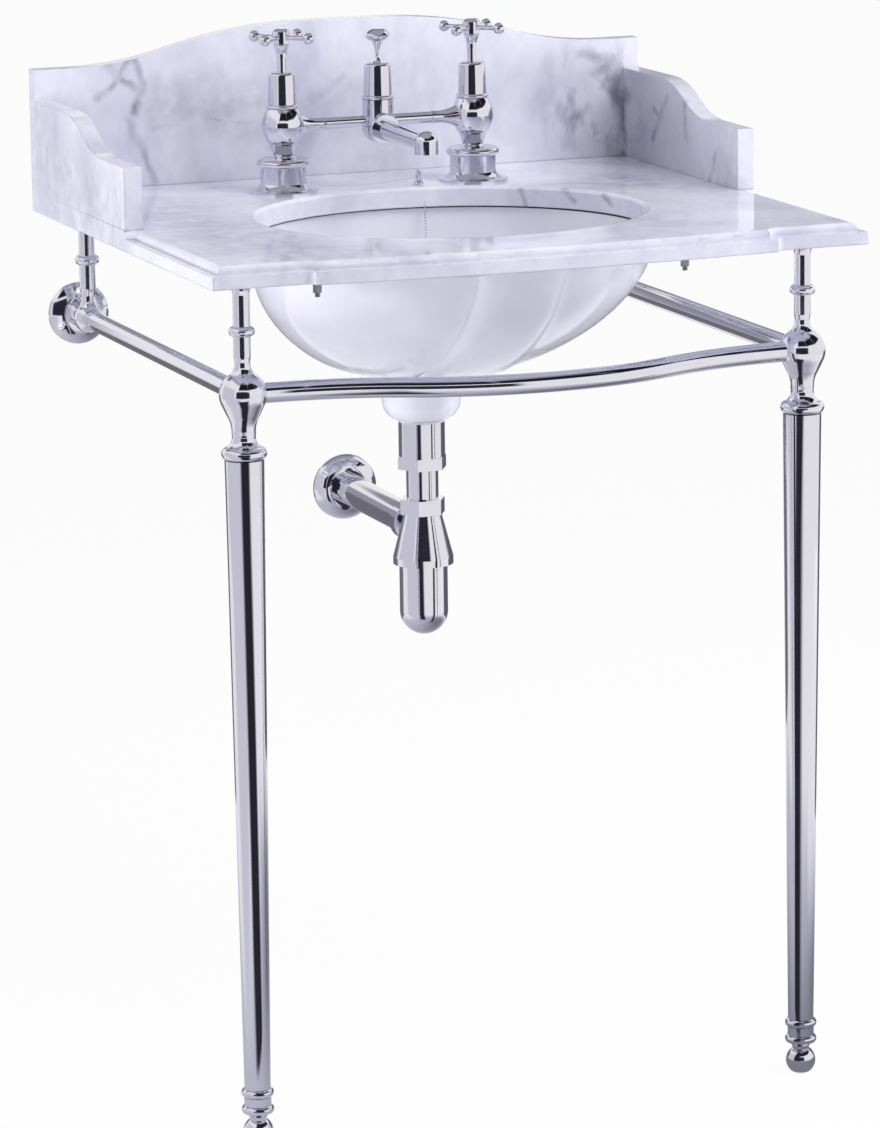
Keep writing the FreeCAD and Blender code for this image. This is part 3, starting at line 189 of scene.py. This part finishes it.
def upright(near, low, high, low_left, low_right, high_left, high_right):
    """The corners of a board that stands square to the camera, with its width at foot and head."""
    return [beside(low_left, near, low), beside(low_right, near, low),
            beside(high_right, near, high), beside(high_left, near, high)]


def bearing(degrees, reach, height):
    """A point round the washstand, by the angle to the right of the camera."""
    turn = math.radians(degrees)
    return toward * (reach * math.cos(turn)) + across * (reach * math.sin(turn)) + Vector((0, 0, height))


def flag(start, end, reach, low, high):
    """The corners of a board that stands between two bearings."""
    return [bearing(start, reach, low), bearing(end, reach, low),
            bearing(end, reach, high), bearing(start, reach, high)]


def strip(start, end):
    """The corners of a board that hangs level under the ceiling between two bearings."""
    height = CEILING - STRIP_DROP
    return [bearing(start, STRIP_NEAR, height), bearing(end, STRIP_NEAR, height),
            bearing(end, STRIP_FAR, height), bearing(start, STRIP_FAR, height)]


def behind(left, right, low, high, back):
    """The corners of a board that stands behind the washstand."""
    return [(left, back, low), (right, back, low), (right, back, high), (left, back, high)]


CARDS = {
    "left_floor": ("#dcdbe3", 0.15, 0.15, [beside(-3.0, -0.5, LIFT), beside(-0.02, -0.2, LIFT),
                                           beside(-0.35, 3.2, LIFT), beside(-3.0, 3.2, LIFT)]),
    # The next two sheets are painted floor shade: grey where the floor lies in the washstand's shade, as
    # mirrors see it.
    "near_floor_shade_card": ("#cdccd6", 0.25, 0.25, flat(-0.9, 0.9, -1.4, 1.2, LIFT * 2)),
    "under_floor_shade_card": ("#85848f", 0.45, 0.45, flat(-0.42, 1.3, -0.95, 0.75, LIFT * 3)),
    "left_leg_card": ("#2b2a34", 0.25, 0.03, upright(0.2, 0.0, 0.64, -0.05, 0.30, -0.108, 0.141)),
    "right_leg_card": ("#2b2a34", 0.25, 0.03, upright(-0.1, 0.0, 0.663, 0.351, 0.533, 0.4415, 0.549)),
    "far_card": ("#2d2c37", 0.12, 0.10, upright(3.6, -0.6, 2.3, -2.5, 2.7, -2.5, 2.7)),
    "left_wall": ("#dcdbe3", 0.10, 0.20, flag(-110, -36, 3.0, -0.4, 2.2)),
    "ceiling_card": ("#a9a8b2", 0.15, 0.15, flat(-1.8, 1.8, -1.5, 1.6, CEILING)),
    "ceiling_strip_left": ("#1f1e28", 0.02, 0.20, strip(-22, 24)),
    "ceiling_strip_mid": ("#1f1e28", 0.02, 0.20, strip(23, 70)),
    "ceiling_strip_right": ("#1f1e28", 0.02, 0.20, strip(69, 116)),
    "rear_ceiling": ("#7d7c87", 0.15, 0.25, flat(-2.2, 2.2, 0.9, 3.4, CEILING - STRIP_DROP)),
    "back_grey": ("#98979f", 0.08, 0.15, behind(-0.36, 0.72, 0.80, 1.07, BACK_NEAR)),
    "pipe_card": ("#a2a1ac", 0.20, 0.15, behind(-0.80, -0.25, 0.48, 0.95, BACK_FAR)),
    "right_back_card": ("#8f8e99", 0.25, 0.20, behind(0.50, 1.8, 0.95, 1.7, BACK_FAR)),
    "back_right_flag": ("#66656f", 0.15, 0.15, flag(108, 176, 1.3, -0.1, 0.64)),
    "back_left_flag": ("#77767f", 0.15, 0.15, flag(-176, -112, 1.3, -0.1, 0.60)),
}
for name, (shade, fade_u, fade_v, corners) in CARDS.items():
    board, tree, out = surface(name)
    place = add(tree, "ShaderNodeTexCoord").outputs["UV"]
    spread = add(tree, "ShaderNodeSeparateXYZ", {0: place}).outputs
    cover = 1.0
    for axis, fade in (("X", fade_u), ("Y", fade_v)):
        inset = add(tree, "ShaderNodeMath", {0: spread[axis], 1: 0.5}, operation="PINGPONG").outputs[0]
        edge = add(tree, "ShaderNodeMapRange", {"Value": inset, "From Max": fade},
                   interpolation_type="SMOOTHSTEP").outputs[0]
        cover = add(tree, "ShaderNodeMath", {0: cover, 1: edge}, operation="MULTIPLY").outputs[0]
    clear = add(tree, "ShaderNodeBsdfTransparent")
    tone = add(tree, "ShaderNodeEmission", {"Color": linear(shade), "Strength": 1.0})
    mixed = add(tree, "ShaderNodeMixShader", {0: cover, 1: clear.outputs[0], 2: tone.outputs[0]})
    tree.links.new(mixed.outputs[0], out.inputs["Surface"])
    card = sheet(name, corners, board)
    for kind in ("camera", "diffuse", "shadow", "transmission", "volume_scatter"):
        setattr(card, f"visible_{kind}", False)

# The stand, taps and waste: turned and drawn brass, polished and chrome plated, screwed together
# and to the wall. Chrome mirrors the room, a little dulled by wiping marks a finger wide.
WIPE_MARK = 0.016
chrome, tree, out = surface("polished_chrome")
place = add(tree, "ShaderNodeTexCoord").outputs["Object"]
wipe = add(tree, "ShaderNodeTexNoise", {"Vector": place, "Scale": 1 / WIPE_MARK, "Detail": 3.0})
gloss = add(tree, "ShaderNodeMapRange", {"Value": wipe.outputs["Fac"], "From Min": 0.3, "From Max": 0.7,
                                         "To Min": 0.05, "To Max": 0.09})
plate = add(tree, "ShaderNodeBsdfPrincipled", {"Base Color": linear("#dfdee7"), "Metallic": 1.0,
                                               "Roughness": gloss.outputs[0]})
tree.links.new(plate.outputs[0], out.inputs["Surface"])


def in_slot(slot):
    """The names of the nodes that the record gives a finish."""
    return [row["node"] for row in frame["record"]["subparts"] if row["material_slot"] == slot]


def dress(material, names):
    """Gives nodes a material in place of the one that they came with."""
    for name in names:
        slots = nodes[name].data.materials
        slots.clear()
        slots.append(material)


dress(chrome, in_slot("chrome"))

# The marble top: slab, splash and returns sawn from one block of white marble, so one pattern runs
# through them. The ground is cloudy, lavender white to pale grey, with soft grey veins like brush
# strokes and a dark, blotchy patch in the right inner corner, with painted shade fading from that corner;
# polished until it mirrors the taps.
CLOUD, FLECK, WARP, SWAY, STROKE_GAP = 0.11, 0.012, 0.03, 0.018, 0.018
marble, tree, out = surface("polished_marble")
place = add(tree, "ShaderNodeTexCoord").outputs["Object"]
slant = add(tree, "ShaderNodeMapping", {"Vector": place, "Rotation": (0.5, 0.35, 0.6),
                                        "Scale": (1.0, 1.0, 0.7)}).outputs[0]
clouds = add(tree, "ShaderNodeTexNoise", {"Vector": slant, "Scale": 1 / CLOUD, "Detail": 4.0,
                                          "Roughness": 0.55, "Distortion": 0.3}).outputs["Fac"]
ground = add(tree, "ShaderNodeValToRGB", {"Fac": clouds})
ramp = ground.color_ramp.elements
ramp[0].position, ramp[0].color = 0.30, linear("#c1c1d2")
ramp[1].position, ramp[1].color = 0.70, linear("#e7e7f2")
for spot, code in ((0.42, "#d3d3e2"), (0.52, "#dddde9")):
    ramp.new(spot).color = linear(code)
flecks = add(tree, "ShaderNodeTexNoise", {"Vector": slant, "Scale": 1 / FLECK, "Detail": 3.0})
mottle = add(tree, "ShaderNodeMapRange", {"Value": flecks.outputs["Fac"], "From Min": 0.35,
                                          "From Max": 0.65, "To Max": 0.16})
stone = add(tree, "ShaderNodeMix", {0: mottle.outputs[0], 6: ground.outputs["Color"],
                                    7: linear("#b4b4c4")}, data_type="RGBA").outputs[2]

# Veins: each row gives how far a stroke reaches to its sides, how dark it is, and the points that it
# runs through on the face that carries it. They waver with the warp and break up along their length.
# The wide, faint rows darken broad patches on the splash behind the taps, on the slab's left and right
# and on its left side; the last three rows draw short dark marks on the opening's cut face.
SPLASH_Y, SLAB_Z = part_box("back_splash")[0][1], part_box("marble_slab")[1][2]
LEFT_X, RETURN_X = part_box("left_side_return")[0][0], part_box("right_side_return")[0][0]
warp = add(tree, "ShaderNodeTexNoise", {"Vector": place, "Scale": 1 / WARP, "Detail": 4.0})
bent = add(tree, "ShaderNodeVectorMath", {0: warp.outputs["Color"], 1: (0.5, 0.5, 0.5)},
           operation="SUBTRACT")
drift = add(tree, "ShaderNodeVectorMath", {0: bent.outputs[0], 1: (SWAY,) * 3, 2: place},
            operation="MULTIPLY_ADD").outputs[0]
breaks = add(tree, "ShaderNodeTexNoise", {"Vector": place, "Scale": 1 / STROKE_GAP, "Detail": 3.0})
worn = add(tree, "ShaderNodeMapRange", {"Value": breaks.outputs["Fac"], "From Min": 0.34, "From Max": 0.62,
                                        "To Min": 0.35, "To Max": 1.0}).outputs[0]
VEINS = [
    (0.0075, 0.75, [(-0.222, SPLASH_Y, 0.977), (-0.212, SPLASH_Y, 0.945), (-0.223, SPLASH_Y, 0.918)]),
    (0.0065, 0.60, [(-0.250, SPLASH_Y, 0.967), (-0.238, SPLASH_Y, 0.953), (-0.217, SPLASH_Y, 0.938)]),
    (0.0060, 0.60, [(-0.224, SPLASH_Y, 0.975), (-0.238, SPLASH_Y, 0.953), (-0.259, SPLASH_Y, 0.933)]),
    (0.0075, 0.50, [(-0.229, SPLASH_Y, 0.910), (-0.208, SPLASH_Y, 0.870), (-0.201, SPLASH_Y, 0.850)]),
    (0.0060, 0.45, [(-0.141, SPLASH_Y, 0.908), (-0.110, SPLASH_Y, 0.904)]),
    (0.0090, 0.30, [(-0.201, SPLASH_Y, 0.901), (-0.165, SPLASH_Y, 0.903)]),
    (0.0110, 0.35, [(-0.034, SPLASH_Y, 0.919), (0.000, SPLASH_Y, 0.942)]),
    (0.0550, 0.36, [(-0.180, SPLASH_Y, 0.930), (-0.110, SPLASH_Y, 0.915)]),
    (0.0500, 0.20, [(-0.040, SPLASH_Y, 0.900), (0.010, SPLASH_Y, 0.930)]),
    (0.0100, 0.60, [(0.259, SPLASH_Y, 0.952), (0.292, SPLASH_Y, 0.946), (0.275, SPLASH_Y, 0.931)]),
    # This stroke down the splash's right inner corner is a dark vein with painted corner shade.
    (0.0140, 0.85, [(0.296, SPLASH_Y, 0.925), (0.307, SPLASH_Y, 0.900), (0.308, SPLASH_Y, 0.845)]),
    (0.0100, 0.60, [(0.249, SPLASH_Y, 0.883), (0.265, SPLASH_Y, 0.893)]),
    (0.0080, 0.95, [(RETURN_X, 0.160, 0.920), (RETURN_X, 0.181, 0.890), (RETURN_X, 0.195, 0.872)]),
    (0.0070, 0.90, [(RETURN_X, 0.195, 0.898), (RETURN_X, 0.179, 0.891)]),
    (0.0085, 0.70, [(RETURN_X, 0.041, 0.871), (RETURN_X, 0.056, 0.846)]),
    (0.0085, 0.55, [(RETURN_X, 0.118, 0.924), (RETURN_X, 0.113, 0.880)]),
    (0.0050, 0.45, [(0.060, 0.215, SLAB_Z), (0.000, 0.190, SLAB_Z), (-0.050, 0.196, SLAB_Z)]),
    (0.0070, 0.40, [(0.190, 0.100, SLAB_Z), (0.290, 0.030, SLAB_Z)]),
    (0.0650, 0.38, [(0.230, 0.130, SLAB_Z), (0.290, 0.000, SLAB_Z)]),
    (0.1100, 0.34, [(-0.260, 0.120, SLAB_Z), (-0.230, -0.240, SLAB_Z)]),
    (0.0070, 0.35, [(-0.280, 0.020, SLAB_Z), (-0.235, -0.140, SLAB_Z)]),
    (0.1000, 0.28, [(LEFT_X, 0.250, 0.880), (LEFT_X, 0.020, 0.850)]),
    (0.0050, 0.80, [(0.123, 0.107, 0.840), (0.128, 0.104, 0.825)]),
    (0.0050, 0.65, [(0.157, 0.074, 0.842), (0.164, 0.065, 0.830)]),
    (0.0060, 0.65, [(0.182, 0.029, 0.841), (0.186, 0.017, 0.830)]),
]
veined = 0.0
for reach, strength, course in VEINS:
    for start, end in zip(course, course[1:]):
        along = Vector(end) - Vector(start)
        offset = add(tree, "ShaderNodeVectorMath", {0: drift, 1: start}, operation="SUBTRACT").outputs[0]
        passed = add(tree, "ShaderNodeVectorMath", {0: offset, 1: along / along.length_squared},
                     operation="DOT_PRODUCT").outputs["Value"]
        held = add(tree, "ShaderNodeClamp", {"Value": passed}).outputs[0]
        nearest = add(tree, "ShaderNodeVectorMath", {0: along, "Scale": held}, operation="SCALE").outputs[0]
        apart = add(tree, "ShaderNodeVectorMath", {0: offset, 1: nearest},
                    operation="DISTANCE").outputs["Value"]
        line = add(tree, "ShaderNodeMapRange", {"Value": apart, "From Max": reach, "To Min": strength,
                                                "To Max": 0.0}, interpolation_type="SMOOTHSTEP").outputs[0]
        veined = add(tree, "ShaderNodeMath", {0: veined, 1: line}, operation="MAXIMUM").outputs[0]
inked = add(tree, "ShaderNodeMath", {0: veined, 1: worn}, operation="MULTIPLY").outputs[0]
stone = add(tree, "ShaderNodeMix", {0: inked, 6: stone, 7: linear("#6d6c82")},
            data_type="RGBA").outputs[2]

# The dark corner: blotches on the splash's right end, and a dusky patch that fades from the corner, which
# is greyer stone with painted corner shade.
BLOTCH, DARK_CORE = 0.024, 0.03
BLOTCH_CENTRE, BLOTCH_REACH = (0.288, SPLASH_Y, 0.895), 0.09
DARK_CORNER, CORNER_REACH = (0.315, 0.20, 0.89), 0.14
tall = add(tree, "ShaderNodeMapping", {"Vector": drift, "Rotation": (0.0, 0.35, 0.0),
                                       "Scale": (1.0, 0.3, 0.45)})
blots = add(tree, "ShaderNodeTexNoise", {"Vector": tall.outputs[0], "Scale": 1 / BLOTCH, "Detail": 3.0})
dark = add(tree, "ShaderNodeMapRange", {"Value": blots.outputs["Fac"], "From Min": 0.46, "From Max": 0.66,
                                        "To Max": 0.95}).outputs[0]
apart = add(tree, "ShaderNodeVectorMath", {0: drift, 1: BLOTCH_CENTRE}, operation="DISTANCE")
near = add(tree, "ShaderNodeMapRange", {"Value": apart.outputs["Value"], "From Min": DARK_CORE,
                                        "From Max": BLOTCH_REACH, "To Min": 1.0, "To Max": 0.0})
spotted = add(tree, "ShaderNodeMath", {0: dark, 1: near.outputs[0]}, operation="MULTIPLY").outputs[0]
stone = add(tree, "ShaderNodeMix", {0: spotted, 6: stone, 7: linear("#74738a")},
            data_type="RGBA").outputs[2]
# Painted corner shade with greyer stone: darker towards the right inner corner.
apart = add(tree, "ShaderNodeVectorMath", {0: drift, 1: DARK_CORNER}, operation="DISTANCE")
corner_grey_and_shade = add(tree, "ShaderNodeMapRange", {"Value": apart.outputs["Value"], "From Min": DARK_CORE,
                                        "From Max": CORNER_REACH, "To Min": 0.52, "To Max": 0.0})
stone = add(tree, "ShaderNodeMix", {0: corner_grey_and_shade.outputs[0], 6: stone, 7: linear("#8b8a9c")},
            data_type="RGBA").outputs[2]
EASED_EDGE = 0.0022
eased = add(tree, "ShaderNodeBevel", {"Radius": EASED_EDGE}, samples=6).outputs[0]
shine = add(tree, "ShaderNodeBsdfPrincipled", {"Base Color": stone, "Roughness": 0.06, "IOR": 1.5,
                                               "Normal": eased})
tree.links.new(shine.outputs[0], out.inputs["Surface"])
dress(marble, in_slot("marble"))

# The bowl: vitreous china cast in a mould, glazed white and fired, bolted up under the slab. The
# overflow's rib runs softly into the bowl, as slip does in a mould. The glaze is a clear gloss that
# waves slightly, a little greyer where it lies thin.
GLAZE_WAVE, GLAZE_POOL = 0.033, 0.08
china, tree, out = surface("white_glazed_china")
place = add(tree, "ShaderNodeTexCoord").outputs["Object"]
wave = add(tree, "ShaderNodeTexNoise", {"Vector": place, "Scale": 1 / GLAZE_WAVE, "Detail": 2.0})
bump = add(tree, "ShaderNodeBump", {"Height": wave.outputs["Fac"], "Strength": 0.04, "Distance": 0.002})
pools = add(tree, "ShaderNodeTexNoise", {"Vector": place, "Scale": 1 / GLAZE_POOL, "Detail": 2.0})
thin = add(tree, "ShaderNodeMapRange", {"Value": pools.outputs["Fac"], "From Min": 0.35, "From Max": 0.65})
tone = add(tree, "ShaderNodeMix", {0: thin.outputs[0], 6: linear("#e9e8f0"), 7: linear("#e1e0ea")},
           data_type="RGBA")
glaze = add(tree, "ShaderNodeBsdfPrincipled", {"Base Color": tone.outputs[2], "Roughness": 0.07,
                                               "IOR": 1.52, "Normal": bump.outputs[0]})
tree.links.new(glaze.outputs[0], out.inputs["Surface"])

# The rib's valleys keep their shape. The mesh gets finer along them, and its normals there are
# averaged over SOFTENING, so the joint is shaded as a cast one.
RIB_HALF, RIB_BACK, RIM_CLEAR = 0.085, 0.03, 0.016
SOFTENING, VALLEY_REACH, FINE_EDGE, HALVINGS = 0.016, 0.020, 0.0035, 4
VALLEY_ANGLE, SHARP_ANGLE, SAME_POINT = math.radians(6), math.radians(38), 1e-6
bm = bmesh.new()
bm.from_mesh(nodes["ceramic_bowl"].data)
bmesh.ops.remove_doubles(bm, verts=bm.verts, dist=SAME_POINT)
bmesh.ops.dissolve_degenerate(bm, dist=SAME_POINT, edges=bm.edges)
low, high = (Vector(corner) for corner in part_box("ceramic_bowl"))
middle = Vector(((low.x + high.x) / 2, (low.y + high.y) / 2, high.z))


def on_rib(point, normal):
    """Whether a point is on the outside of the bowl's front, where the overflow's rib joins it."""
    return (abs(point.x) < RIB_HALF and point.y < middle.y - RIB_BACK and point.z < high.z - RIM_CLEAR
            and normal.dot(point - middle) > 0)


def searchable(points):
    """Points in a form that finds those near a place."""
    found = KDTree(len(points))
    for i, point in enumerate(points):
        found.insert(point, i)
    found.balance()
    return found


valleys = searchable([(e.verts[0].co + e.verts[1].co) / 2 for e in bm.edges
                      if len(e.link_faces) == 2 and e.calc_face_angle() > VALLEY_ANGLE
                      and on_rib(e.verts[0].co, e.verts[0].normal)])


def near_valley(vert, reach):
    """Whether a vertex is on the rib's side of the bowl, within reach of a valley."""
    return on_rib(vert.co, vert.normal) and valleys.find(vert.co)[2] < reach


for halving in range(HALVINGS):
    fine = {v for v in bm.verts if near_valley(v, VALLEY_REACH + SOFTENING)}
    long_edges = [e for e in bm.edges if fine.issuperset(e.verts) and e.calc_length() > FINE_EDGE]
    bmesh.ops.subdivide_edges(bm, edges=long_edges, cuts=1)
    bmesh.ops.triangulate(bm, faces=bm.faces)
bm.verts.index_update()
skin = [(f.calc_center_median(), f.normal * f.calc_area()) for f in bm.faces
        if on_rib(f.calc_center_median(), f.normal)]
centres = searchable([centre for centre, facing in skin])
softened = {}
for vert in bm.verts:
    if near_valley(vert, VALLEY_REACH):
        blend = Vector()
        for centre, i, distance in centres.find_range(vert.co, SOFTENING):
            blend += skin[i][1] * (1 - distance / SOFTENING)
        softened[vert.index] = blend.normalized()
for face in bm.faces:
    face.smooth = True
for edge in bm.edges:
    inside = all(v.index in softened for v in edge.verts)
    edge.smooth = inside or (len(edge.link_faces) == 2 and edge.calc_face_angle() < SHARP_ANGLE)
mesh = bpy.data.meshes.new("cast_bowl")
bm.to_mesh(mesh)
bm.free()
mesh.normals_split_custom_set([softened.get(loop.vertex_index, Vector()) for loop in mesh.loops])
mesh.materials.append(china)
bowl = bpy.data.objects.new("cast_bowl", mesh)
scene.collection.objects.link(bowl)
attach(bowl, "washstand")
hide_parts("ceramic_bowl")

# The seals, washers, valves, clips and nozzle: moulded rubber and acetal, machined brass, and steel
# plated with zinc, mostly hidden. Each is uneven in tone, with a grain drawn coarse enough to show.
# A row gives a finish's name, its pale and dull tones, whether it is metal, and its roughness.
GRAIN, SMEAR = 0.0011, 0.007
INNER = {"black_rubber": ("black_rubber", "#202022", "#141416", 0, 0.6),
         "white_rubber": ("pale_rubber", "#cfcfcc", "#bdbdb8", 0, 0.5),
         "brass": ("machined_brass", "#cfae66", "#b8954e", 1, 0.25),
         "plain_steel": ("zinc_plated_steel", "#8b8b93", "#74747d", 1, 0.24),
         "dark_plastic": ("dark_acetal", "#2e2f32", "#232427", 0, 0.45)}
for slot, (title, pale, dull, metal, rough) in INNER.items():
    material, tree, out = surface(title)
    place = add(tree, "ShaderNodeTexCoord").outputs["Object"]
    smears = add(tree, "ShaderNodeTexNoise", {"Vector": place, "Scale": 1 / SMEAR, "Detail": 3.0})
    worn = add(tree, "ShaderNodeMapRange", {"Value": smears.outputs["Fac"], "From Min": 0.35,
                                            "From Max": 0.65})
    tone = add(tree, "ShaderNodeMix", {0: worn.outputs[0], 6: linear(pale), 7: linear(dull)},
               data_type="RGBA")
    grain = add(tree, "ShaderNodeTexNoise", {"Vector": place, "Scale": 1 / GRAIN, "Detail": 2.0})
    bump = add(tree, "ShaderNodeBump", {"Height": grain.outputs["Fac"], "Strength": 0.1,
                                        "Distance": 0.0002})
    shell = add(tree, "ShaderNodeBsdfPrincipled", {"Base Color": tone.outputs[2], "Metallic": metal,
                                                   "Roughness": rough, "Normal": bump.outputs[0]})
    tree.links.new(shell.outputs[0], out.inputs["Surface"])
    dress(material, in_slot(slot))

# The plug chain: small balls of chromed brass, hung from the stay on the slab over the opening's edge
# and down to the plug's ring. The balls follow one smooth line at an even pitch.
CHAIN_BALL, CHAIN_PITCH, BALL_DETAIL, LINE_STEPS = 0.0012, 0.0031, 2, 40
CHAIN_ROUTE = [(0.0370, 0.15541, 0.85045), (0.0370, 0.14290, 0.84558), (0.0370, 0.14201, 0.71597),
               (0.03293, 0.12409, 0.69694), (0.02294, 0.10301, 0.68795), (0.0111, 0.0840, 0.70607),
               (0.00281, 0.0705, 0.70699)]
line = bpy.data.curves.new("chain_line", "CURVE")
line.dimensions = "3D"
spline = line.splines.new("NURBS")
spline.points.add(len(CHAIN_ROUTE) - 1)
for point, at in zip(spline.points, CHAIN_ROUTE):
    point.co = (*at, 1)
spline.order_u = 3
spline.use_endpoint_u = True
spline.resolution_u = LINE_STEPS
guide = bpy.data.objects.new("chain_line", line)
way = bpy.data.meshes.new_from_object(guide)
steps = [v.co.copy() for v in way.vertices]
bpy.data.meshes.remove(way)
bpy.data.objects.remove(guide)
bm = bmesh.new()
travelled, next_ball = 0.0, 0.0
for start, end in zip(steps, steps[1:]):
    run = (end - start).length
    while next_ball <= travelled + run and run > 0:
        spot = start.lerp(end, (next_ball - travelled) / run)
        bmesh.ops.create_icosphere(bm, subdivisions=BALL_DETAIL, radius=CHAIN_BALL,
                                   matrix=Matrix.Translation(spot))
        next_ball += CHAIN_PITCH
    travelled += run
for face in bm.faces:
    face.smooth = True
mesh = bpy.data.meshes.new("bead_chain")
bm.to_mesh(mesh)
bm.free()
mesh.materials.append(chrome)
chain = bpy.data.objects.new("bead_chain", mesh)
scene.collection.objects.link(chain)
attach(chain, "washstand")
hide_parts("ball_chain")
